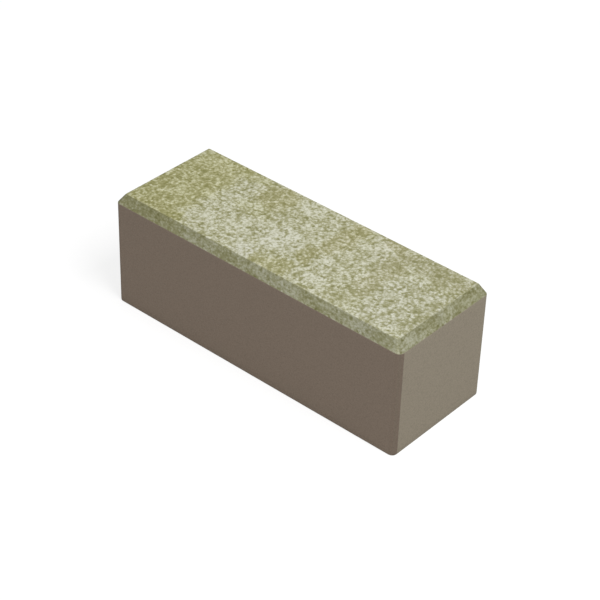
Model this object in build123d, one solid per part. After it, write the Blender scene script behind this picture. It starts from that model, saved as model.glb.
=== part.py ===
"""A rectangular concrete paver: one pressed block with a bevel round its wearing face.

The block lies on its bed face. X runs along its length, Y across its width and +Z up to the
wearing face. The origin is the centre of the bed face. All sizes are in millimetres.
"""

import os

from build123d import *

# Driving dimensions
LENGTH = 225.0  # over the two end faces
WIDTH = 82.0  # over the two long side faces
THICKNESS = 80.0  # from the bed face to the wearing face
SIDE_BEVEL_WIDTH = 4.0  # how far the long sides' bevel reaches in over the wearing face
END_BEVEL_WIDTH = 5.0  # how far the ends' bevel reaches in over the wearing face
BEVEL_DROP = 6.5  # how far the bevel falls below the wearing face
CORNER_RADIUS = 3.5  # rounding of the four upright corners, as the mould leaves them
FACE_CORNER_RADIUS = 0.6  # rounding of the wearing face's own corners

# The bevel's foot, where the upright sides end
SHOULDER = THICKNESS - BEVEL_DROP


def plan():
    """The outline of the upright sides, seen from above."""
    return RectangleRounded(LENGTH, WIDTH, CORNER_RADIUS)


def wearing_outline():
    """The outline of the wearing face, inside the bevel on all four sides."""
    length = LENGTH - 2 * END_BEVEL_WIDTH
    width = WIDTH - 2 * SIDE_BEVEL_WIDTH
    return RectangleRounded(length, width, FACE_CORNER_RADIUS)


def upright_sides():
    """The block from its bed face to the bevel's foot."""
    return extrude(plan(), SHOULDER)


def bevelled_crown():
    """The sloped top, from the bevel's foot to the wearing face."""
    foot = Pos(Z=SHOULDER) * plan()
    face = Pos(Z=THICKNESS) * wearing_outline()
    return loft([foot, face], ruled=True)


def paver_block():
    """The whole paver, a single solid."""
    return upright_sides() + bevelled_crown()


os.makedirs("parts", exist_ok=True)
export_step(paver_block(), "parts/paver_block.step")
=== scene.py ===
"""The looks of a concrete paver: its granular wearing face, the bevel round it and the taupe body.

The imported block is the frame. One fine mesh stands for it: a grid over the wearing face, rings down
the bevel and the sides, and a closed bed. Geometry Nodes press the grain into it, and two concrete
finishes colour it. Lengths are metres, but those in the finishes' patterns are millimetres.
"""

import math

import bpy
import numpy as np
from bpy.props import FloatProperty, FloatVectorProperty, IntProperty, PointerProperty
from mathutils import Matrix, Vector, geometry


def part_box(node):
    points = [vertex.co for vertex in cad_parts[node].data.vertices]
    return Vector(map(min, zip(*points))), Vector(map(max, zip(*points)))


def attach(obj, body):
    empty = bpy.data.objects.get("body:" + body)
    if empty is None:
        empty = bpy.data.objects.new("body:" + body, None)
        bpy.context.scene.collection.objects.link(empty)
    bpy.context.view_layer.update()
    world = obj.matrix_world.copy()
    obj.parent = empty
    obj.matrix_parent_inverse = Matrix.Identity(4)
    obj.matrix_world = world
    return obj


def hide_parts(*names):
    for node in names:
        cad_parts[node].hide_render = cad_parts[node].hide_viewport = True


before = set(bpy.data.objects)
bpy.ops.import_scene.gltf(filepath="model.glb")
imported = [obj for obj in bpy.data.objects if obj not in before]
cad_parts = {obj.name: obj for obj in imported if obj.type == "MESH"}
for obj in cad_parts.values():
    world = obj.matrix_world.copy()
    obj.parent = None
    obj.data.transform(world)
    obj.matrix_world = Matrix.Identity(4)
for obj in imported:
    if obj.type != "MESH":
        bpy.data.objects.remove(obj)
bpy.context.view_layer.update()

bl_info = {
    "name": "Concrete Paver",
    "version": (1, 0, 0),
    "blender": (4, 5, 0),
    "location": "3D View > Sidebar > Paver",
    "description": "Builds the paver's pressed surface, its two concrete finishes and a plain stage",
    "category": "Object",
}

# Names that the frame and the record use
BLOCK = "paver_block"
BODY = "root"

MM = 0.001
PER_MM = 1000.0
LOW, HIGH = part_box(BLOCK)


def block_sizes():
    """Bevel and corner sizes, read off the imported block."""
    points = np.array([v.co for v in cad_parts[BLOCK].data.vertices])
    close = 0.01 * MM
    face = points[points[:, 2] > HIGH.z - close]
    end = points[points[:, 0] > HIGH.x - close]
    side = points[points[:, 1] > HIGH.y - close]
    face_side = face[face[:, 1] > face[:, 1].max() - close]
    end_width = HIGH.x - face[:, 0].max()
    side_width = HIGH.y - face[:, 1].max()
    return {
        "end_width": end_width,
        "side_width": side_width,
        "bevel_width": (end_width + side_width) / 2,
        "bevel_drop": HIGH.z - end[:, 2].max(),
        "corner": HIGH.x - side[:, 0].max(),
        "face_corner": face[:, 0].max() - face_side[:, 0].max(),
    }


SIZES = block_sizes()

# The mesh
LEAST_RADIUS = 0.2 * MM  # of the corners of its tightest ring
FACE_ARRIS_STEPS = 4
LOW_ARRIS_STEPS = 3  # at the bevel's foot and at the bed
BED_MARGIN = 0.7  # from the bed's rim to its inner points, in bed steps
BED_EXACTNESS = 1e-9

# The marks on the mesh, by the distance inside the wearing face's rim
RELIEF_FADE = 0.9 * MM  # width of the change from the face's relief to the bevel's
RELIEF_AT_RIM = 0.35  # share of the face's relief that is left on the rim
RELIEF_AT_FOOT = -0.5  # below 0, so that the relief ends above the bevel's foot
FACE_DEPTH = 0.3 * MM  # how far below the wearing face a point still counts as on it
TONE_START = 0.44 * MM  # where the bevel's tone and its painted shade start
TONE_WIDTH = 0.46 * MM
CORNER_SHADE_POWER = 0.65  # how soon the painted shade on the near upright corner deepens from the long side to the end

# The relief
PRESSED = 1.6  # how much finer the grain is in height, because the press laid it flat
NOISE_MIDDLE = 0.5  # a noise's middle value, taken as level
PIT_RIM, PIT_FLOOR = 0.42, 0.12  # from the pit's middle, in pit spacings
PIT_DARKNESS = 0.35  # how far a pit lowers the grain's tone
WAVE_SIZE = 9.0 * MM

# Patterns that both mixes or several layers share, in millimetres
GRAIN_LEVEL = 0.52  # distance from a grain's middle that counts as level, in grain sizes
DOME_HEIGHT = 0.5  # of a grain against the dust on it
BREAK_SIZE = 5.0  # patches in which strokes and the pale arris line break off
TONE_LOW, TONE_HIGH = -0.4, 0.4  # range of the sand's tone

# Layers of the wearing mix, in millimetres. A pull moves its colour from olive at -1 to cream at 1
RAMP_REACH = 3.0  # the pits' and the palest grains' place on that scale
WANDER_SIZE, WANDER_REACH = 14.0, 28.0  # what makes the clouds' rims ragged
CLOUD_RIM, CLOUD_CORE = 1.2, 0.65  # where a cloud ends and where it is whole, in its half sizes
CLOUD_DEPTH = 4.0  # how far a cloud reaches down, in its half lengths
STROKE_SIZE, STROKE_TURNS = 3.4, 18.0
STROKE_BREAK, STROKE_WHOLE = 0.4, 0.6  # where in the patches' noise strokes end and are whole
ARRIS_INSET, ARRIS_HALF = 0.5, 0.5  # the pale arris line's distance from the rim and half its width
ARRIS_BREAK, ARRIS_WHOLE = 0.38, 0.55
BLOTCH_SIZE, SAND_SIZE, FINES_SIZE = 7.0, 2.0, 0.7
FACE_BLOTCH_PULL, BEVEL_BLOTCH_PULL = 5.4, 4.1
RELIEF_PULL, SAND_PULL, STROKE_PULL, FINES_PULL, ARRIS_PULL = 10.0, 4.7, 1.15, 2.2, 0.7
CREAM_SPAN = 0.8  # pull either way between the calmest olive and the liveliest cream
OLIVE_CONTRAST, CREAM_CONTRAST, BEVEL_CONTRAST = 0.90, 1.08, 0.67
FINES_HEIGHT = 0.4  # of the fines against the sand, in the bump
WEARING_SMOOTH, WEARING_ROUGH, WEARING_SPECULAR = 0.82, 0.95, 0.25
WEARING_BUMP, WEARING_BUMP_STRENGTH = 0.25 * MM, 0.6  # the bump's height is in metres

# Layers of the body mix, in millimetres
BODY_BLOTCH_SIZE, BODY_SAND_SIZE = 16.0, 0.9
BODY_BLOTCH_TONE, BODY_SAND_TONE = 0.02, 0.22  # brighter or darker by so much
BODY_SMOOTH, BODY_ROUGH, BODY_SPECULAR = 0.84, 0.94, 0.2
BODY_BUMP, BODY_BUMP_STRENGTH = 0.12 * MM, 0.35  # the bump's height is in metres

# The layout of the node trees
NODES_IN_ROW = 10
NODE_WIDTH, NODE_HEIGHT = 200, 260

# The stage
FLOOR_HALF = 6.0
FLOOR_SHADED, FLOOR_WHITE = 0.28, 0.8  # the floor as seen: what takes the shadow, and what stays white
LAMP_DISTANCE, LAMP_SIZE = 3.0, 1.4
KEY_AZIMUTH, KEY_ELEVATION = -8.0, 54.0  # in degrees, from +X and from the floor
SENSOR_WIDTH = 36.0
CAMERA_SIGHT = 50.0

# The wearing mix's plain pull towards cream, yellow and tan
FACE_PLAIN = (0.37, 0.25, 0.0)
BEVEL_PLAIN = (0.2, 0.58, 0.0)

# Clouds in the wearing mix: the middle and the half sizes in millimetres along X and Y,
# the turn in degrees, then how far the cloud pulls towards cream (above 0) or olive (below 0), towards
# yellow and towards tan
FACE_CLOUDS = (
    (-90.0, 0.0, 25.0, 62.0, 0.0, -0.76, 0.76, 0.2),
    (-84.0, -35.0, 26.0, 7.0, 0.0, -0.40, 0.30, 0.1),
    (-70.0, -35.0, 7.0, 6.0, 0.0, -0.40, 0.45, 0.0),
    (-62.0, 34.0, 13.0, 7.0, 0.0, -0.60, 0.50, 0.0),
    (-60.0, 4.0, 12.0, 24.0, -8.0, 0.25, 0.0, 0.0),
    (-36.0, 25.0, 17.0, 14.0, -8.0, -1.00, 0.40, 0.50),
    (-40.0, 6.0, 14.0, 8.0, 0.0, -0.20, 0.30, 0.0),
    (-24.0, -16.0, 7.0, 14.0, 0.0, 0.55, -0.10, 0.0),
    (-5.0, -9.0, 14.0, 13.0, 0.0, 1.05, -0.15, 0.0),
    (-13.0, -32.0, 10.0, 9.0, 0.0, 0.80, -0.25, 0.0),
    (-12.0, 32.0, 11.0, 9.0, 20.0, 0.50, 0.0, 0.0),
    (0.0, 12.0, 7.0, 12.0, 10.0, 0.45, 0.0, 0.0),
    (21.0, 18.0, 9.0, 24.0, 0.0, -0.60, 0.25, 0.65),
    (26.0, 30.0, 9.0, 8.0, 0.0, -0.35, 0.15, 0.0),
    (16.0, -12.0, 6.0, 11.0, 20.0, -0.75, 0.30, 0.45),
    (7.0, -34.0, 14.0, 11.0, 0.0, -0.95, 0.40, 0.35),
    (32.0, -17.0, 10.0, 13.0, 10.0, 0.50, -0.10, 0.0),
    (46.0, 24.0, 6.0, 12.0, 18.0, 0.25, -0.10, 0.2),
    (50.0, 12.0, 9.0, 8.0, 0.0, -0.40, -0.10, 0.0),
    (52.0, 33.0, 9.0, 7.0, 0.0, -0.55, 0.05, 0.6),
    (60.0, 5.0, 8.0, 32.0, 0.0, -1.00, -0.05, 0.45),
    (60.0, -30.0, 12.0, 9.0, 0.0, -0.60, 0.05, 0.0),
    (84.0, 30.0, 26.0, 10.0, 0.0, -1.05, -0.20, 0.25),
    (88.0, -8.0, 22.0, 26.0, 0.0, -0.08, -0.30, 0.0),
    (84.0, -29.0, 12.0, 9.0, 0.0, 0.30, -0.10, 0.0),
    (110.0, 0.0, 11.0, 46.0, 0.0, -0.85, -0.15, 0.0),
)
BEVEL_CLOUDS = (
    (-88.0, -40.0, 32.0, 20.0, 0.0, -0.82, 0.20, 0.1),
    (-46.0, -40.0, 9.0, 20.0, 0.0, 0.25, 0.0, 0.0),
    (-20.0, -40.0, 11.0, 20.0, 0.0, -0.45, 0.10, 0.0),
    (16.0, -40.0, 13.0, 20.0, 0.0, 0.25, -0.10, 0.0),
    (30.0, -40.0, 5.0, 20.0, 0.0, 0.60, 0.0, 0.0),
    (47.0, -40.0, 11.0, 20.0, 0.0, -0.30, 0.10, 0.0),
    (86.0, -40.0, 6.0, 20.0, 0.0, 0.50, -0.20, 0.0),
    (100.0, -40.0, 7.0, 10.0, 0.0, -0.30, 0.0, 0.0),
    (110.0, -34.0, 6.0, 9.0, 0.0, 0.70, 0.10, 0.0),
    (110.0, -12.0, 6.0, 9.0, 0.0, -0.30, 0.25, 0.0),
    (110.0, 3.0, 6.0, 4.0, 0.0, 0.20, 0.30, 0.0),
    (110.0, 22.0, 6.0, 15.0, 0.0, -0.22, 0.28, 0.0),
)


class PaverShape(bpy.types.PropertyGroup):
    """Sizes of the pressed surface."""

    grid_step: FloatProperty(
        name="Grid Step", description="Spacing of the mesh over the wearing face and the bevel",
        default=0.62 * MM, unit="LENGTH", precision=5)
    side_step: FloatProperty(
        name="Side Step", description="Spacing of the rings down the upright sides",
        default=4.0 * MM, unit="LENGTH", precision=5)
    bed_step: FloatProperty(
        name="Bed Step", description="Spacing of the points over the bed face",
        default=4.0 * MM, unit="LENGTH", precision=5)
    face_arris: FloatProperty(
        name="Face Arris", description="Rounding where the wearing face meets the bevel",
        default=0.5 * MM, unit="LENGTH", precision=5)
    foot_arris: FloatProperty(
        name="Foot Arris", description="Rounding where the bevel meets the sides",
        default=0.5 * MM, unit="LENGTH", precision=5)
    bed_arris: FloatProperty(
        name="Bed Arris", description="Rounding where the sides meet the bed face",
        default=0.6 * MM, unit="LENGTH", precision=5)
    grain_size: FloatProperty(
        name="Grain Size", description="Width of one sand grain or hollow on the wearing face",
        default=2.05 * MM, unit="LENGTH", precision=5)
    grain_height: FloatProperty(
        name="Grain Height", description="Height of the grain above its hollows",
        default=0.70 * MM, unit="LENGTH", precision=5)
    pit_spacing: FloatProperty(
        name="Pit Spacing", description="Spacing of the places where a pit can lie",
        default=3.4 * MM, unit="LENGTH", precision=5)
    pit_depth: FloatProperty(
        name="Pit Depth", description="Depth of the small pits between the grains",
        default=0.32 * MM, unit="LENGTH", precision=5)
    pit_share: FloatProperty(
        name="Pit Share", description="Share of those places that have a pit",
        default=0.30, min=0.0, max=1.0, subtype="FACTOR")
    bevel_share: FloatProperty(
        name="Bevel Share", description="Grain height on the bevel against that on the wearing face",
        default=0.35, min=0.0, max=1.0, subtype="FACTOR")
    side_height: FloatProperty(
        name="Side Height", description="Height of the faint waves on the bevel and the sides",
        default=0.06 * MM, unit="LENGTH", precision=5)
    seed: IntProperty(name="Seed", description="Picks another grain pattern", default=7)


class PaverFinish(bpy.types.PropertyGroup):
    """Colours of the two concrete mixes, with painted shade on the bevel and on one upright corner, and
    painted warm light on the long sides.
    """

    pit: FloatVectorProperty(
        name="Pit", description="Wearing mix in its pits", subtype="COLOR", size=3,
        default=(0.270, 0.265, 0.124), min=0.0, max=1.0)
    olive: FloatVectorProperty(
        name="Olive", description="Wearing mix where it is olive", subtype="COLOR", size=3,
        default=(0.381, 0.371, 0.215), min=0.0, max=1.0)
    sage: FloatVectorProperty(
        name="Sage", description="Wearing mix between olive and cream", subtype="COLOR", size=3,
        default=(0.463, 0.457, 0.308), min=0.0, max=1.0)
    cream: FloatVectorProperty(
        name="Cream", description="Wearing mix where it is cream", subtype="COLOR", size=3,
        default=(0.561, 0.558, 0.419), min=0.0, max=1.0)
    grain: FloatVectorProperty(
        name="Grain", description="Wearing mix on its palest grains", subtype="COLOR", size=3,
        default=(0.720, 0.720, 0.606), min=0.0, max=1.0)
    yellow: FloatVectorProperty(
        name="Yellow", description="Tint of the wearing mix where its olive is yellowest", subtype="COLOR",
        size=3, default=(1.0, 0.997, 0.82), min=0.0, max=1.0)
    tan: FloatVectorProperty(
        name="Tan", description="Tint of the wearing mix where it is brownest", subtype="COLOR", size=3,
        default=(1.0, 0.970, 0.960), min=0.0, max=1.0)
    # Painted shade on the bevel: it is darker than the wearing face, on the ends more than on the long sides
    side_bevel_shade: FloatProperty(
        name="Side Bevel Shade", description="Painted shade: brightness of the long sides' bevel against the wearing face",
        default=0.72, min=0.0, max=1.0, subtype="FACTOR")
    end_bevel_shade: FloatProperty(
        name="End Bevel Shade", description="Painted shade: brightness of the ends' bevel against the wearing face",
        default=0.545, min=0.0, max=1.0, subtype="FACTOR")
    # Painted warm light: the long sides are as bright as the ends but redder
    side: FloatVectorProperty(
        name="Side", description="Plain concrete of the long sides, redder by painted warm light", subtype="COLOR", size=3,
        default=(0.293, 0.230, 0.178), min=0.0, max=1.0)
    end: FloatVectorProperty(
        name="End", description="Plain concrete of the ends and the bed", subtype="COLOR", size=3,
        default=(0.269, 0.234, 0.178), min=0.0, max=1.0)
    # Painted shade: the near upright corner's rounding is darkened so that it stays as dark as the long side
    corner_shade: FloatVectorProperty(
        name="Painted Corner Shade", description="Painted shade on the rounding of the near upright corner",
        subtype="COLOR", size=3, default=(0.176, 0.136, 0.104), min=0.0, max=1.0)


class PaverStage(bpy.types.PropertyGroup):
    """Floor, light and camera."""

    floor: FloatVectorProperty(
        name="Floor", description="Colour of the floor", subtype="COLOR", size=3,
        default=(0.66, 0.66, 0.66), min=0.0, max=1.0)
    room_level: FloatProperty(
        name="Room Level", description="Brightness of the even light from the room", default=0.36, min=0.0)
    key_level: FloatProperty(
        name="Key Level", description="Brightness that the key lamp gives a white card facing it",
        default=0.74, min=0.0)
    key_color: FloatVectorProperty(
        name="Key Colour", description="Colour of the key lamp", subtype="COLOR", size=3,
        default=(1.0, 1.0, 1.0), min=0.0, max=1.0)
    camera_place: FloatVectorProperty(
        name="Camera Place", description="Where the camera stands", subtype="XYZ", unit="LENGTH", size=3,
        default=(0.60097, -0.70242, 0.70497))
    camera_azimuth: FloatProperty(
        name="Camera Azimuth", description="Turn of the view from straight along the width", subtype="ANGLE",
        default=math.radians(40.366))
    camera_elevation: FloatProperty(
        name="Camera Elevation", description="Slope of the view down to the paver", subtype="ANGLE",
        default=math.radians(35.969))
    camera_roll: FloatProperty(
        name="Camera Roll", description="Tilt of the camera about its own view", subtype="ANGLE",
        default=math.radians(1.867))
    camera_lens: FloatProperty(
        name="Camera Lens", description="Focal length on a 36 mm wide sensor", default=112.60, min=1.0)


# Small helpers for node trees


def node(tree, kind, label, **settings):
    """A new node with its label, laid out in rows in the order of making."""
    made = tree.nodes.new(kind)
    made.label = label
    for key, value in settings.items():
        setattr(made, key, value)
    row, column = divmod(len(tree.nodes), NODES_IN_ROW)
    made.location = (NODE_WIDTH * column, -NODE_HEIGHT * row)
    return made


def put(tree, value, socket):
    """Links an output to a socket, or sets the socket's own value."""
    if isinstance(value, bpy.types.NodeSocket):
        tree.links.new(value, socket)
    else:
        socket.default_value = value


def sum_up(tree, operation, label, *values, clamp=False):
    """One Math node's result."""
    made = node(tree, "ShaderNodeMath", label, operation=operation, use_clamp=clamp)
    for value, socket in zip(values, made.inputs):
        put(tree, value, socket)
    return made.outputs[0]


def vector_sum(tree, operation, label, *values, scale=None):
    """One Vector Math node's vector."""
    made = node(tree, "ShaderNodeVectorMath", label, operation=operation)
    for value, socket in zip(values, made.inputs):
        put(tree, value, socket)
    if scale is not None:
        put(tree, scale, made.inputs["Scale"])
    return made.outputs["Vector"]


def spread(tree, label, value, low, high, to_low=0.0, to_high=1.0):
    """A value taken smoothly from one range to another, and held at its ends."""
    made = node(tree, "ShaderNodeMapRange", label, interpolation_type="SMOOTHSTEP")
    for item, socket in zip((value, low, high, to_low, to_high), made.inputs):
        put(tree, item, socket)
    return made.outputs["Result"]


def noise(tree, label, place, size, detail=2.0, roughness=0.5, seed=0.0, distortion=0.0):
    """A Noise Texture whose features are about as wide as size, in the units of place."""
    made = node(tree, "ShaderNodeTexNoise", label, noise_dimensions="4D")
    put(tree, place, made.inputs["Vector"])
    put(tree, sum_up(tree, "DIVIDE", label + " scale", 1.0, size), made.inputs["Scale"])
    put(tree, detail, made.inputs["Detail"])
    put(tree, roughness, made.inputs["Roughness"])
    put(tree, seed, made.inputs["W"])
    put(tree, distortion, made.inputs["Distortion"])
    return made


def blend_colours(tree, label, share, first, second, kind="MIX"):
    """A mix of two colours, by the colour sockets of a node that has others for numbers and vectors."""
    made = node(tree, "ShaderNodeMix", label, data_type="RGBA", blend_type=kind)
    put(tree, share, made.inputs[0])
    put(tree, first, made.inputs[6])
    put(tree, second, made.inputs[7])
    return made.outputs[2]


def opaque(colour):
    """A colour with full alpha."""
    return (*colour, 1.0)


# The block's mesh


def rim_walk(columns, rows):
    """Grid places (column, row) round the wearing face, once round from the left front corner."""
    front = [(i, 0) for i in range(columns)]
    right = [(columns, j) for j in range(rows)]
    back = [(i, rows) for i in range(columns, 0, -1)]
    left = [(0, j) for j in range(rows, 0, -1)]
    return front + right + back + left


def half_sizes(inset):
    """Half the length and half the width of the ring at an inset."""
    share = inset / SIZES["bevel_width"]
    return HIGH.x - share * SIZES["end_width"], HIGH.y - share * SIZES["side_width"]


def rounded_ring(unit_rim, inset, height):
    """One ring round the block, a rectangle with round corners that tighten towards the wearing face.

    The inset is measured on a bevel of middling width. The ends and the long sides take it in proportion.
    """
    half_length, half_width = half_sizes(inset)
    tighter = (SIZES["corner"] - SIZES["face_corner"]) / SIZES["bevel_width"]
    radius = max(SIZES["corner"] - tighter * inset, LEAST_RADIUS)
    ring = np.empty((len(unit_rim), 3))
    ring[:, 0] = unit_rim[:, 0] * half_length
    ring[:, 1] = unit_rim[:, 1] * half_width
    ring[:, 2] = height
    past_x = np.abs(ring[:, 0]) - (half_length - radius)
    past_y = np.abs(ring[:, 1]) - (half_width - radius)
    round_part = (past_x > 0) & (past_y > 0)
    turn = math.pi / 4 * (1 + (past_x - past_y) / radius)
    arc_x = np.sign(ring[:, 0]) * (half_length - radius + radius * np.sin(turn))
    arc_y = np.sign(ring[:, 1]) * (half_width - radius + radius * np.cos(turn))
    ring[round_part, 0] = arc_x[round_part]
    ring[round_part, 1] = arc_y[round_part]
    return ring


def arris(before, corner, after, radius, steps):
    """Points of a small arc that rounds one corner of the profile."""
    into = (corner - before).normalized()
    out = (after - corner).normalized()
    half_turn = into.angle(out) / 2
    reach = radius * math.tan(half_turn)
    start = corner - into * reach
    inward = Vector((into.y, -into.x))
    if inward.dot(out) < 0:
        inward = -inward
    centre = start + inward * radius
    points = []
    for k in range(steps + 1):
        angle = 2 * half_turn * k / steps
        points.append(centre - inward * radius * math.cos(angle) + into * radius * math.sin(angle))
    return points


def straight(first, last, step):
    """Points between two ends of a straight run, without the ends."""
    count = max(1, round((last - first).length / step))
    return [first.lerp(last, k / count) for k in range(1, count)]


def block_profile(shape):
    """The block's outline in section, as (inset, height), from the wearing face down to the bed.

    With it comes the number of the first ring below the bevel's foot.
    """
    face = Vector((SIZES["bevel_width"], HIGH.z))
    foot = Vector((0.0, HIGH.z - SIZES["bevel_drop"]))
    bed = Vector((0.0, LOW.z))
    inside = Vector((1.0, 0.0))
    face_arc = arris(face + inside, face, foot, shape.face_arris, FACE_ARRIS_STEPS)
    foot_arc = arris(face, foot, bed, shape.foot_arris, LOW_ARRIS_STEPS)
    bed_arc = arris(foot, bed, bed + inside, shape.bed_arris, LOW_ARRIS_STEPS)
    bevel = straight(face_arc[-1], foot_arc[0], shape.grid_step)
    side = straight(foot_arc[-1], bed_arc[0], shape.side_step)
    return face_arc + bevel + foot_arc + side + bed_arc, len(face_arc) + len(bevel) + 1


def bed_fill(ring, step):
    """Points and triangles that close the bed inside its ring, with point numbers that follow the ring's."""
    half_length = ring[:, 0].max() - BED_MARGIN * step
    half_width = ring[:, 1].max() - BED_MARGIN * step
    across = np.linspace(-half_length, half_length, round(2 * half_length / step))
    deep = np.linspace(-half_width, half_width, round(2 * half_width / step))
    inner = [Vector((x, y)) for y in deep[1:-1] for x in across[1:-1]]
    outline = [Vector(p[:2]) for p in ring]
    edges = [(k, (k + 1) % len(outline)) for k in range(len(outline))]
    _, _, filled, origins, *_ = geometry.delaunay_2d_cdt(outline + inner, edges, [], 1, BED_EXACTNESS)
    source = [origin[0] for origin in origins]
    triangles = [[source[k] for k in face] for face in filled]
    return np.array([(p.x, p.y, LOW.z) for p in inner]), triangles


def block_mesh(shape):
    """The paver's plain closed surface, with what the press texture and the finishes read."""
    profile, foot_ring = block_profile(shape)
    rim_inset = profile[0].x
    half_length, half_width = half_sizes(rim_inset)
    columns = round(2 * half_length / shape.grid_step)
    rows = round(2 * half_width / shape.grid_step)

    across, deep = np.meshgrid(np.linspace(-1, 1, columns + 1), np.linspace(-1, 1, rows + 1))
    unit = np.stack([across.ravel(), deep.ravel()], axis=1)
    top = np.column_stack([unit * (half_length, half_width), np.full(len(unit), HIGH.z)])

    def at(i, j):
        return j * (columns + 1) + i

    rim = np.array([at(i, j) for i, j in rim_walk(columns, rows)])
    top[rim] = rounded_ring(unit[rim], rim_inset, HIGH.z)
    points = [top]
    faces = [
        (at(i, j), at(i + 1, j), at(i + 1, j + 1), at(i, j + 1))
        for j in range(rows) for i in range(columns)
    ]
    crown = [True] * len(faces)

    last = rim
    count = len(top)
    for number, step in enumerate(profile[1:], start=1):
        points.append(rounded_ring(unit[rim], step.x, step.y))
        ring = np.arange(count, count + len(rim))
        count += len(rim)
        upper, lower = np.roll(last, -1), np.roll(ring, -1)
        faces += np.column_stack([last, ring, lower, upper]).tolist()
        crown += [number < foot_ring] * len(rim)
        last = ring

    inner, triangles = bed_fill(points[-1], shape.bed_step)
    numbers = np.concatenate([last, np.arange(count, count + len(inner))])
    faces += [tuple(numbers[list(t)][::-1]) for t in triangles]
    crown += [False] * len(triangles)
    points.append(inner)

    mesh = bpy.data.meshes.new("paver")
    mesh.from_pydata(np.concatenate(points).tolist(), [], faces)
    mesh.attributes.new("crown", "BOOLEAN", "FACE").data.foreach_set("value", crown)
    add_marks(mesh, shape.bevel_share)
    mesh.shade_smooth()
    mesh.validate()
    return mesh


def add_marks(mesh, bevel_share):
    """Point values: wearing face, bevel, how deep the grain is, long sides and the painted shade on one
    upright corner.
    """
    places = np.empty(len(mesh.vertices) * 3)
    mesh.vertices.foreach_get("co", places)
    x, y, z = places.reshape(-1, 3).T
    from_end = (HIGH.x - np.abs(x)) / SIZES["end_width"]
    from_side = (HIGH.y - np.abs(y)) / SIZES["side_width"]
    past_rim = (np.minimum(from_end, from_side) - 1) * SIZES["bevel_width"]
    wearing = np.clip(past_rim / RELIEF_FADE + RELIEF_AT_RIM, 0, 1) * (z > HIGH.z - FACE_DEPTH)
    bevel = np.clip((TONE_START - past_rim) / TONE_WIDTH, 0, 1)
    past_foot = z - HIGH.z + SIZES["bevel_drop"]
    above_foot = np.clip(past_foot / RELIEF_FADE + RELIEF_AT_FOOT, 0, 1)
    pressed = np.maximum(wearing, bevel_share * above_foot)
    # Painted shade on the near upright corner's rounding: none at the long side, full at the end
    radius = SIZES["corner"]
    turn = np.arctan2(x - (HIGH.x - radius), -y - (HIGH.y - radius))
    in_corner = (x > HIGH.x - radius) & (-y > HIGH.y - radius)
    corner_shade = np.where(in_corner, np.sin(np.clip(turn, 0, math.pi / 2)) ** CORNER_SHADE_POWER, 0.0)
    marks = {
        "wearing": wearing, "bevel": bevel, "pressed": pressed, "long_side": from_side < from_end,
        "corner_shade": corner_shade,
    }
    for name, values in marks.items():
        kept = mesh.attributes.new(name, "FLOAT", "POINT")
        kept.data.foreach_set("value", values.astype(np.float32))


# The press texture


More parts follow.
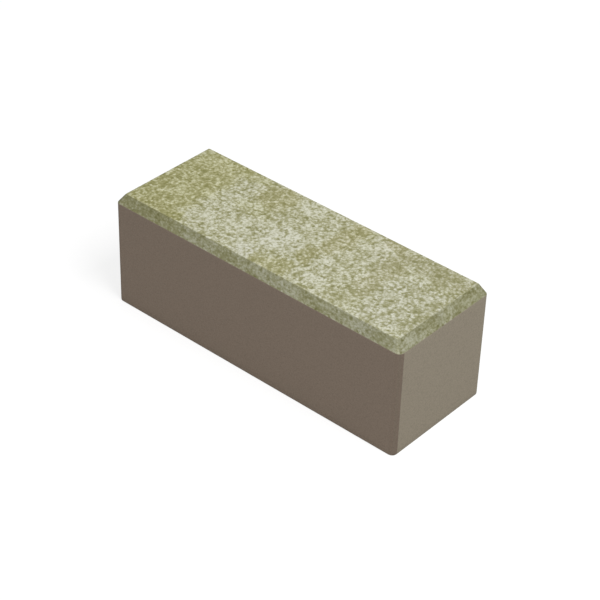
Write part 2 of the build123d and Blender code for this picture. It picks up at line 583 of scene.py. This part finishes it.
def press_texture(face_mix, body_mix):
    """Geometry Nodes that press grain, pits and faint waves into the block and give it its finishes."""
    tree = bpy.data.node_groups.new("Press Texture", "GeometryNodeTree")
    sockets = tree.interface
    sockets.new_socket("Geometry", in_out="OUTPUT", socket_type="NodeSocketGeometry")
    sockets.new_socket("Geometry", in_out="INPUT", socket_type="NodeSocketGeometry")
    sizes = (
        "Grain Size", "Grain Height", "Pit Spacing", "Pit Depth", "Pit Share", "Side Height", "Seed",
    )
    for name in sizes:
        sockets.new_socket(name, in_out="INPUT", socket_type="NodeSocketFloat")
    given = node(tree, "NodeGroupInput", "Sizes").outputs
    place = node(tree, "GeometryNodeInputPosition", "Place").outputs[0]
    flattened = vector_sum(tree, "MULTIPLY", "Flattened", place, (1.0, 1.0, PRESSED))
    wearing = named_value(tree, "wearing")
    pressed = named_value(tree, "pressed")

    grain = noise(
        tree, "Grain", flattened, given["Grain Size"],
        detail=2.5, roughness=0.6, seed=given["Seed"], distortion=0.6).outputs["Fac"]
    pit = node(tree, "ShaderNodeTexVoronoi", "Pit places", voronoi_dimensions="3D", feature="F1")
    stray = noise(
        tree, "Pit stray", place, given["Grain Size"],
        detail=1.0, roughness=0.5, seed=given["Seed"]).outputs["Color"]
    stray = vector_sum(tree, "SCALE", "Pit stray reach", stray, scale=given["Grain Size"])
    put(tree, vector_sum(tree, "ADD", "Pit ground", place, stray), pit.inputs["Vector"])
    put(tree, sum_up(tree, "DIVIDE", "Pit scale", 1.0, given["Pit Spacing"]), pit.inputs["Scale"])
    lot = node(tree, "FunctionNodeSeparateColor", "Pit lot")
    put(tree, pit.outputs["Color"], lot.inputs[0])
    chosen = sum_up(tree, "LESS_THAN", "Pit chosen", lot.outputs[0], given["Pit Share"])
    hollow = spread(tree, "Pit hollow", pit.outputs["Distance"], PIT_RIM, PIT_FLOOR)
    pitted = sum_up(tree, "MULTIPLY", "Pitted", chosen, hollow)

    level = sum_up(tree, "SUBTRACT", "Grain level", grain, NOISE_MIDDLE)
    lift = sum_up(tree, "MULTIPLY", "Grain lift", level, given["Grain Height"])
    lift = sum_up(tree, "MULTIPLY", "Pressed grain", lift, pressed)
    sink = sum_up(tree, "MULTIPLY", "Pit sink", pitted, given["Pit Depth"])
    sink = sum_up(tree, "MULTIPLY", "Pressed pits", sink, wearing)
    relief = sum_up(tree, "SUBTRACT", "Relief", lift, sink)
    wave = noise(
        tree, "Side waves", place, WAVE_SIZE,
        detail=3.0, roughness=0.55, seed=given["Seed"]).outputs["Fac"]
    wave_level = sum_up(tree, "SUBTRACT", "Wave level", wave, NOISE_MIDDLE)
    waved = sum_up(tree, "MULTIPLY", "Waved", wave_level, given["Side Height"])
    height = sum_up(tree, "ADD", "Height", relief, waved)
    normal = node(tree, "GeometryNodeInputNormal", "Outwards").outputs[0]

    moved = node(tree, "GeometryNodeSetPosition", "Press")
    put(tree, given["Geometry"], moved.inputs["Geometry"])
    put(tree, vector_sum(tree, "SCALE", "Offset", normal, scale=height), moved.inputs["Offset"])
    pit_tone = sum_up(tree, "MULTIPLY", "Pit tone", pitted, PIT_DARKNESS)
    tone = sum_up(tree, "SUBTRACT", "Grain tone", grain, pit_tone)
    kept = node(tree, "GeometryNodeStoreNamedAttribute", "Keep grain", data_type="FLOAT", domain="POINT")
    put(tree, moved.outputs[0], kept.inputs["Geometry"])
    put(tree, "grain", kept.inputs["Name"])
    put(tree, tone, kept.inputs["Value"])

    real = node(tree, "GeometryNodeRealizeInstances", "Real mesh")
    put(tree, kept.outputs[0], real.inputs[0])
    bodied = node(tree, "GeometryNodeSetMaterial", "Body mix")
    put(tree, real.outputs[0], bodied.inputs["Geometry"])
    bodied.inputs["Material"].default_value = body_mix
    faced = node(tree, "GeometryNodeSetMaterial", "Face mix")
    put(tree, bodied.outputs[0], faced.inputs["Geometry"])
    put(tree, named_value(tree, "crown", "BOOLEAN"), faced.inputs["Selection"])
    faced.inputs["Material"].default_value = face_mix
    result = node(tree, "NodeGroupOutput", "Result")
    put(tree, faced.outputs[0], result.inputs[0])
    return tree


def named_value(tree, name, kind="FLOAT"):
    """A mesh attribute's value in Geometry Nodes."""
    made = node(tree, "GeometryNodeInputNamedAttribute", name, data_type=kind)
    made.inputs["Name"].default_value = name
    return made.outputs["Attribute"]


def set_inputs(modifier, values):
    """Sets a Geometry Nodes modifier's inputs by their names."""
    for item in modifier.node_group.interface.items_tree:
        if item.in_out == "INPUT" and item.name in values:
            modifier[item.identifier] = values[item.name]


# The finishes


def fine_grain_group():
    """Fine sand in any of the mixes: a tone about 0, bright on each grain, and a height for bump."""
    tree = bpy.data.node_groups.new("Fine Grain", "ShaderNodeTree")
    tree.interface.new_socket("Tone", in_out="OUTPUT", socket_type="NodeSocketFloat")
    tree.interface.new_socket("Height", in_out="OUTPUT", socket_type="NodeSocketFloat")
    tree.interface.new_socket("Vector", in_out="INPUT", socket_type="NodeSocketVector")
    tree.interface.new_socket("Size", in_out="INPUT", socket_type="NodeSocketFloat")
    given = node(tree, "NodeGroupInput", "Place and size").outputs
    grains = node(tree, "ShaderNodeTexVoronoi", "Grains", voronoi_dimensions="3D", feature="F1")
    put(tree, given["Vector"], grains.inputs["Vector"])
    put(tree, sum_up(tree, "DIVIDE", "Grain scale", 1.0, given["Size"]), grains.inputs["Scale"])
    dust = noise(tree, "Dust", given["Vector"], given["Size"], detail=2.0, roughness=0.6).outputs["Fac"]
    dome = sum_up(tree, "SUBTRACT", "Dome", GRAIN_LEVEL, grains.outputs["Distance"])
    dusty = sum_up(tree, "SUBTRACT", "Dust about nought", dust, NOISE_MIDDLE)
    result = node(tree, "NodeGroupOutput", "Result")
    put(tree, sum_up(tree, "ADD", "Tone", dome, dusty), result.inputs["Tone"])
    put(tree, sum_up(tree, "MULTIPLY_ADD", "Height", dome, DOME_HEIGHT, dust), result.inputs["Height"])
    return tree


def mottling_group():
    """Soft blotches that any of the mixes shows: a value about 0, from -0.5 to 0.5."""
    tree = bpy.data.node_groups.new("Mottling", "ShaderNodeTree")
    tree.interface.new_socket("Blotch", in_out="OUTPUT", socket_type="NodeSocketFloat")
    tree.interface.new_socket("Vector", in_out="INPUT", socket_type="NodeSocketVector")
    tree.interface.new_socket("Size", in_out="INPUT", socket_type="NodeSocketFloat")
    given = node(tree, "NodeGroupInput", "Place and size").outputs
    soft = noise(
        tree, "Blotches", given["Vector"], given["Size"],
        detail=3.0, roughness=0.55, seed=3.0).outputs["Fac"]
    result = node(tree, "NodeGroupOutput", "Result")
    put(tree, sum_up(tree, "SUBTRACT", "About nought", soft, NOISE_MIDDLE), result.inputs["Blotch"])
    return tree


def effect(tree, group, label, **values):
    """One placed shader node group."""
    made = node(tree, "ShaderNodeGroup", label, node_tree=group)
    for name, value in values.items():
        put(tree, value, made.inputs[name])
    return made.outputs


def new_finish(name):
    """A material with its shader, and the object's coordinates in millimetres."""
    finish = bpy.data.materials.new(name)
    finish.use_nodes = True
    tree = finish.node_tree
    tree.nodes.clear()
    result = node(tree, "ShaderNodeOutputMaterial", "Result")
    shader = node(tree, "ShaderNodeBsdfPrincipled", name)
    put(tree, shader.outputs[0], result.inputs["Surface"])
    place = node(tree, "ShaderNodeTexCoord", "Place").outputs["Object"]
    return finish, tree, shader, vector_sum(tree, "SCALE", "In millimetres", place, scale=PER_MM)


def mark(tree, name):
    """A mesh attribute's value in a material."""
    return node(tree, "ShaderNodeAttribute", name, attribute_name=name).outputs["Fac"]


def bumped(tree, shader, height, distance, strength):
    """Feeds a bump into the shader's normal."""
    made = node(tree, "ShaderNodeBump", "Fine bump")
    made.inputs["Strength"].default_value = strength
    made.inputs["Distance"].default_value = distance
    put(tree, height, made.inputs["Height"])
    put(tree, made.outputs[0], shader.inputs["Normal"])


def wandered(tree, place):
    """The place moved about along the face, so that the clouds get ragged rims."""
    wander = noise(tree, "Wander", place, WANDER_SIZE, detail=5.0, roughness=0.68, seed=5.0).outputs["Color"]
    shift = vector_sum(tree, "SUBTRACT", "Wander about nought", wander, (NOISE_MIDDLE,) * 3)
    shift = vector_sum(tree, "SCALE", "Wander reach", shift, scale=WANDER_REACH)
    return vector_sum(tree, "ADD", "Wandered place", place, shift)


def cloud_drift(tree, place, clouds, plain_pull):
    """How far the wearing mix drifts towards cream, yellow and tan, from its plain pull and its clouds."""
    drift = plain_pull
    for x, y, half_x, half_y, turn, *pulls in clouds:
        inside = node(tree, "ShaderNodeMapping", "Cloud", vector_type="TEXTURE")
        put(tree, place, inside.inputs["Vector"])
        inside.inputs["Location"].default_value = (x, y, HIGH.z * PER_MM)
        inside.inputs["Rotation"].default_value = (0.0, 0.0, math.radians(turn))
        inside.inputs["Scale"].default_value = (half_x, half_y, CLOUD_DEPTH * half_x)
        away = node(tree, "ShaderNodeVectorMath", "Away", operation="LENGTH")
        put(tree, inside.outputs[0], away.inputs[0])
        share = spread(tree, "Cloud share", away.outputs["Value"], CLOUD_RIM, CLOUD_CORE)
        drift = [
            sum_up(tree, "MULTIPLY_ADD", "Drift", share, pull, so_far)
            for pull, so_far in zip(pulls, drift)
        ]
    return drift


def strokes(tree, place):
    """Short crooked strokes, pale above 0 and dark below, in groups that break off."""
    winding = noise(
        tree, "Winding", place, STROKE_SIZE,
        detail=1.0, roughness=0.5, seed=11.0, distortion=0.8).outputs["Fac"]
    lines = sum_up(tree, "SINE", "Strokes", sum_up(tree, "MULTIPLY", "Stroke turns", winding, STROKE_TURNS))
    groups = noise(
        tree, "Stroke groups", place, BREAK_SIZE,
        detail=2.0, roughness=0.6, seed=12.0).outputs["Fac"]
    share = spread(tree, "Group share", groups, STROKE_BREAK, STROKE_WHOLE)
    return sum_up(tree, "MULTIPLY", "Broken strokes", lines, share)


def arris_wear_and_highlight(tree, place):
    """A thin broken pale line just inside the wearing face's rim, from 0 to 1: partly wear, partly a painted
    highlight on the arris.
    """
    rim = tuple(PER_MM * half for half in half_sizes(SIZES["bevel_width"]))
    from_middle = vector_sum(tree, "ABSOLUTE", "From the middle", place)
    inside = node(tree, "ShaderNodeSeparateXYZ", "Inside the rim")
    put(tree, vector_sum(tree, "SUBTRACT", "Rim distance", (*rim, 0.0), from_middle), inside.inputs[0])
    nearest = sum_up(tree, "MINIMUM", "Nearest rim", inside.outputs["X"], inside.outputs["Y"])
    off = sum_up(tree, "SUBTRACT", "Off the line", nearest, ARRIS_INSET)
    off = sum_up(tree, "ABSOLUTE", "Off the line either way", off)
    line = spread(tree, "Arris line", off, ARRIS_HALF, 0.0)
    groups = noise(
        tree, "Arris breaks", place, BREAK_SIZE,
        detail=2.0, roughness=0.6, seed=14.0).outputs["Fac"]
    share = spread(tree, "Arris share", groups, ARRIS_BREAK, ARRIS_WHOLE)
    return sum_up(tree, "MULTIPLY", "Broken arris", line, share)


def wearing_colours(tree, finish, value):
    """The wearing mix's colour, from its pits at the ramp's reach below 0 to its palest grains above."""
    ramp = node(tree, "ShaderNodeValToRGB", "Wearing colours")
    put(tree, sum_up(tree, "MULTIPLY_ADD", "Ramp place", value, 0.5 / RAMP_REACH, 0.5), ramp.inputs["Fac"])
    stops = ramp.color_ramp.elements
    stops[0].position, stops[0].color = 0.0, opaque(finish.pit)
    stops[1].position, stops[1].color = 1.0, opaque(finish.grain)
    for level, colour in ((-1.0, finish.olive), (0.0, finish.sage), (1.0, finish.cream)):
        stops.new(0.5 + 0.5 * level / RAMP_REACH).color = opaque(colour)
    return ramp.outputs["Color"]


def toned(tree, shader, colour, tone):
    """Feeds a colour times a brightness into the shader's base colour."""
    made = node(tree, "ShaderNodeVectorMath", "Toned", operation="SCALE")
    put(tree, colour, made.inputs[0])
    put(tree, tone, made.inputs["Scale"])
    put(tree, made.outputs["Vector"], shader.inputs["Base Color"])


def wearing_finish(finish, grain_group, blotch_group):
    """The wearing mix: olive and cream clouds, pale grains, dark pits and a smoother bevel darkened by
    painted shade.
    """
    made, tree, shader, place = new_finish("Wearing Mix")
    wearing = mark(tree, "wearing")
    bevel = mark(tree, "bevel")
    ragged = wandered(tree, place)
    on_face = cloud_drift(tree, ragged, FACE_CLOUDS, FACE_PLAIN)
    on_bevel = cloud_drift(tree, ragged, BEVEL_CLOUDS, BEVEL_PLAIN)
    creamy, yellowish, tan = [
        spread(tree, "Face or bevel", bevel, 0.0, 1.0, face, slope) for face, slope in zip(on_face, on_bevel)
    ]
    flattened = vector_sum(tree, "MULTIPLY", "Flattened", place, (1.0, 1.0, PRESSED))
    blotch = effect(tree, blotch_group, "Blotches", Vector=flattened, Size=BLOTCH_SIZE)["Blotch"]
    sand = effect(tree, grain_group, "Sand", Vector=flattened, Size=SAND_SIZE)
    fines = effect(tree, grain_group, "Fines", Vector=flattened, Size=FINES_SIZE)
    relief = sum_up(tree, "SUBTRACT", "Relief about nought", mark(tree, "grain"), NOISE_MIDDLE)
    speckle = sum_up(tree, "MULTIPLY", "Relief share", relief, RELIEF_PULL)
    speckle = sum_up(tree, "MULTIPLY_ADD", "Sand share", sand["Tone"], SAND_PULL, speckle)
    speckle = sum_up(tree, "MULTIPLY_ADD", "Stroke share", strokes(tree, flattened), STROKE_PULL, speckle)
    speckle = sum_up(tree, "MULTIPLY_ADD", "Speckle", fines["Tone"], FINES_PULL, speckle)
    lively = spread(
        tree, "Livelier cream", creamy, -CREAM_SPAN, CREAM_SPAN, OLIVE_CONTRAST, CREAM_CONTRAST)
    contrast = spread(tree, "Smoother bevel", wearing, 0.0, 1.0, BEVEL_CONTRAST, 1.0)
    contrast = sum_up(tree, "MULTIPLY", "Contrast", contrast, lively)
    blotched = spread(tree, "Blotched bevel", wearing, 0.0, 1.0, BEVEL_BLOTCH_PULL, FACE_BLOTCH_PULL)
    level = sum_up(tree, "MULTIPLY_ADD", "Blotched level", blotch, blotched, creamy)
    level = sum_up(tree, "MULTIPLY_ADD", "Speckled level", speckle, contrast, level)
    # A pale line along the rim: partly wear, partly a painted highlight on the arris
    level = sum_up(tree, "MULTIPLY_ADD", "Arris wear and highlight level", arris_wear_and_highlight(tree, place), ARRIS_PULL, level)
    colour = wearing_colours(tree, finish, level)
    for label, share, tint in (("Yellowed", yellowish, finish.yellow), ("Tanned", tan, finish.tan)):
        share = sum_up(tree, "ADD", label + " share", share, 0.0, clamp=True)
        colour = blend_colours(tree, label, share, colour, opaque(tint), "MULTIPLY")

    # Painted shade: the bevel darkened against the wearing face, more on the ends than on the long sides
    side = mark(tree, "long_side")
    bevel_shade = spread(tree, "Side or end", side, 0.0, 1.0, finish.end_bevel_shade, finish.side_bevel_shade)
    toned(tree, shader, colour, spread(tree, "Painted bevel shade", bevel, 0.0, 1.0, 1.0, bevel_shade))
    matt = spread(tree, "Roughness", sand["Tone"], TONE_HIGH, TONE_LOW, WEARING_SMOOTH, WEARING_ROUGH)
    put(tree, matt, shader.inputs["Roughness"])
    shader.inputs["Specular IOR Level"].default_value = WEARING_SPECULAR
    height = sum_up(tree, "MULTIPLY_ADD", "Sand and fines", fines["Height"], FINES_HEIGHT, sand["Height"])
    bumped(tree, shader, height, WEARING_BUMP, WEARING_BUMP_STRENGTH)
    return made


def body_finish(finish, grain_group, blotch_group):
    """The plain body mix: even taupe with faint blotches, fine sand, painted warm light on the long sides
    and painted shade on one upright corner.
    """
    made, tree, shader, place = new_finish("Body Concrete")
    blotch = effect(tree, blotch_group, "Blotches", Vector=place, Size=BODY_BLOTCH_SIZE)["Blotch"]
    sand = effect(tree, grain_group, "Sand", Vector=place, Size=BODY_SAND_SIZE)
    tone = sum_up(tree, "MULTIPLY_ADD", "Blotched", blotch, BODY_BLOTCH_TONE, 1.0)
    tone = sum_up(tree, "MULTIPLY_ADD", "Sanded", sand["Tone"], BODY_SAND_TONE, tone)
    side = mark(tree, "long_side")
    # Painted warm light: the long sides take a redder colour than the ends
    colour = blend_colours(tree, "Side or end", side, opaque(finish.end), opaque(finish.side))
    # Painted shade on the near upright corner, so that its rounding does not brighten towards the lit end
    colour = blend_colours(tree, "Corner", mark(tree, "corner_shade"), colour, opaque(finish.corner_shade))
    toned(tree, shader, colour, tone)
    matt = spread(tree, "Roughness", sand["Tone"], TONE_HIGH, TONE_LOW, BODY_SMOOTH, BODY_ROUGH)
    put(tree, matt, shader.inputs["Roughness"])
    shader.inputs["Specular IOR Level"].default_value = BODY_SPECULAR
    bumped(tree, shader, sand["Height"], BODY_BUMP, BODY_BUMP_STRENGTH)
    return made


# The stage


def floor_finish(colour):
    """A pale floor that the camera sees as white, with the paver's shadow softened on it."""
    made = bpy.data.materials.new("Floor")
    made.use_nodes = True
    tree = made.node_tree
    tree.nodes.clear()
    result = node(tree, "ShaderNodeOutputMaterial", "Result")
    path = node(tree, "ShaderNodeLightPath", "Ray")
    seen = sum_up(tree, "MAXIMUM", "Seen", path.outputs["Is Camera Ray"], path.outputs["Is Glossy Ray"])
    seen = sum_up(tree, "MAXIMUM", "Seen through", seen, path.outputs["Is Transmission Ray"])
    card = node(tree, "ShaderNodeBsdfDiffuse", "Card")
    shaded = opaque([FLOOR_SHADED] * 3)
    put(tree, blend_colours(tree, "Seen colour", seen, opaque(colour), shaded), card.inputs["Color"])
    glow = node(tree, "ShaderNodeEmission", "White")
    put(tree, sum_up(tree, "MULTIPLY", "White share", seen, FLOOR_WHITE), glow.inputs["Strength"])
    both = node(tree, "ShaderNodeAddShader", "White with its shadow")
    put(tree, card.outputs[0], both.inputs[0])
    put(tree, glow.outputs[0], both.inputs[1])
    put(tree, both.outputs[0], result.inputs["Surface"])
    return made


def add_floor(stage):
    """A wide plain floor under the paver."""
    half = FLOOR_HALF
    mesh = bpy.data.meshes.new("floor")
    corners = [(-half, -half, LOW.z), (half, -half, LOW.z), (half, half, LOW.z), (-half, half, LOW.z)]
    mesh.from_pydata(corners, [], [(0, 1, 2, 3)])
    mesh.materials.append(floor_finish(stage.floor))
    floor = bpy.data.objects.new("floor", mesh)
    bpy.context.scene.collection.objects.link(floor)


def add_softbox(name, azimuth, elevation, level, colour):
    """A square lamp far enough off to light each face evenly, aimed at the paver's middle."""
    turn, rise = math.radians(azimuth), math.radians(elevation)
    towards = Vector((math.cos(rise) * math.cos(turn), math.cos(rise) * math.sin(turn), math.sin(rise)))
    lamp = bpy.data.lights.new(name, "AREA")
    lamp.shape = "SQUARE"
    lamp.size = LAMP_SIZE
    lamp.color = colour
    # A white card at distance d shows a lamp's power divided by the square of pi times d
    lamp.energy = level * math.pi ** 2 * LAMP_DISTANCE ** 2
    placed = bpy.data.objects.new(name, lamp)
    placed.location = (LOW + HIGH) / 2 + towards * LAMP_DISTANCE
    placed.rotation_euler = towards.to_track_quat("Z", "Y").to_euler()
    bpy.context.scene.collection.objects.link(placed)


def add_room(level):
    """Even white light from all round."""
    room = bpy.data.worlds.new("Room")
    room.use_nodes = True
    light = room.node_tree.nodes["Background"]
    light.inputs["Color"].default_value = (1.0, 1.0, 1.0, 1.0)
    light.inputs["Strength"].default_value = level
    bpy.context.scene.world = room


def add_camera(stage):
    """The camera, from where it stands, which way it looks and its tilt."""
    azimuth, elevation = stage.camera_azimuth, stage.camera_elevation
    flat = math.cos(elevation)
    back = Vector((math.sin(azimuth) * flat, -math.cos(azimuth) * flat, math.sin(elevation)))
    right = Vector((math.cos(azimuth), math.sin(azimuth), 0.0))
    level = Matrix((right, back.cross(right), back)).transposed()
    tilted = level @ Matrix.Rotation(stage.camera_roll, 3, "Z")
    lens = bpy.data.cameras.new("Camera")
    lens.sensor_width = SENSOR_WIDTH
    lens.lens = stage.camera_lens
    lens.clip_end = CAMERA_SIGHT
    camera = bpy.data.objects.new("Camera", lens)
    camera.matrix_world = Matrix.Translation(stage.camera_place) @ tilted.to_4x4()
    bpy.context.scene.collection.objects.link(camera)
    bpy.context.scene.camera = camera


class PAVER_OT_block(bpy.types.Operator):
    """Makes the paver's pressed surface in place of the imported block"""

    bl_idname = "paver.block"
    bl_label = "Paver Block"

    def execute(self, context):
        shape = context.scene.paver_shape
        finish = context.scene.paver_finish
        grain_group, blotch_group = fine_grain_group(), mottling_group()
        face_mix = wearing_finish(finish, grain_group, blotch_group)
        body_mix = body_finish(finish, grain_group, blotch_group)

        paver = bpy.data.objects.new("paver", block_mesh(shape))
        context.scene.collection.objects.link(paver)
        press = paver.modifiers.new("Press", "NODES")
        press.node_group = press_texture(face_mix, body_mix)
        set_inputs(press, {
            "Grain Size": shape.grain_size, "Grain Height": shape.grain_height,
            "Pit Spacing": shape.pit_spacing, "Pit Depth": shape.pit_depth, "Pit Share": shape.pit_share,
            "Side Height": shape.side_height, "Seed": float(shape.seed),
        })
        pressed = bpy.data.meshes.new_from_object(paver.evaluated_get(context.evaluated_depsgraph_get()))
        paver.modifiers.remove(press)
        paver.data = pressed
        if len(pressed.materials) != 2:
            raise RuntimeError("the pressed paver has to have two finishes")
        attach(paver, BODY)
        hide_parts(BLOCK)
        return {"FINISHED"}


class PAVER_OT_stage(bpy.types.Operator):
    """Makes the floor, the light and the camera"""

    bl_idname = "paver.stage"
    bl_label = "Stage"

    def execute(self, context):
        stage = context.scene.paver_stage
        add_floor(stage)
        add_room(stage.room_level)
        add_softbox("Key", KEY_AZIMUTH, KEY_ELEVATION, stage.key_level, stage.key_color)
        add_camera(stage)
        context.scene.view_settings.view_transform = "Standard"
        return {"FINISHED"}


class PAVER_PT_panel(bpy.types.Panel):
    """The paver's operators and sizes"""

    bl_idname = "PAVER_PT_panel"
    bl_label = "Concrete Paver"
    bl_space_type = "VIEW_3D"
    bl_region_type = "UI"
    bl_category = "Paver"

    def draw(self, context):
        for operator in (PAVER_OT_block, PAVER_OT_stage):
            self.layout.operator(operator.bl_idname)
        for group in (context.scene.paver_shape, context.scene.paver_finish, context.scene.paver_stage):
            column = self.layout.column()
            for name in group.__annotations__:
                column.prop(group, name)


CLASSES = (PaverShape, PaverFinish, PaverStage, PAVER_OT_block, PAVER_OT_stage, PAVER_PT_panel)


def register():
    for item in CLASSES:
        bpy.utils.register_class(item)
    bpy.types.Scene.paver_shape = PointerProperty(type=PaverShape)
    bpy.types.Scene.paver_finish = PointerProperty(type=PaverFinish)
    bpy.types.Scene.paver_stage = PointerProperty(type=PaverStage)


def unregister():
    del bpy.types.Scene.paver_stage
    del bpy.types.Scene.paver_finish
    del bpy.types.Scene.paver_shape
    for item in reversed(CLASSES):
        bpy.utils.unregister_class(item)


def main():
    register()
    bpy.ops.paver.block()
    bpy.ops.paver.stage()


if __name__ == "__main__":
    main()
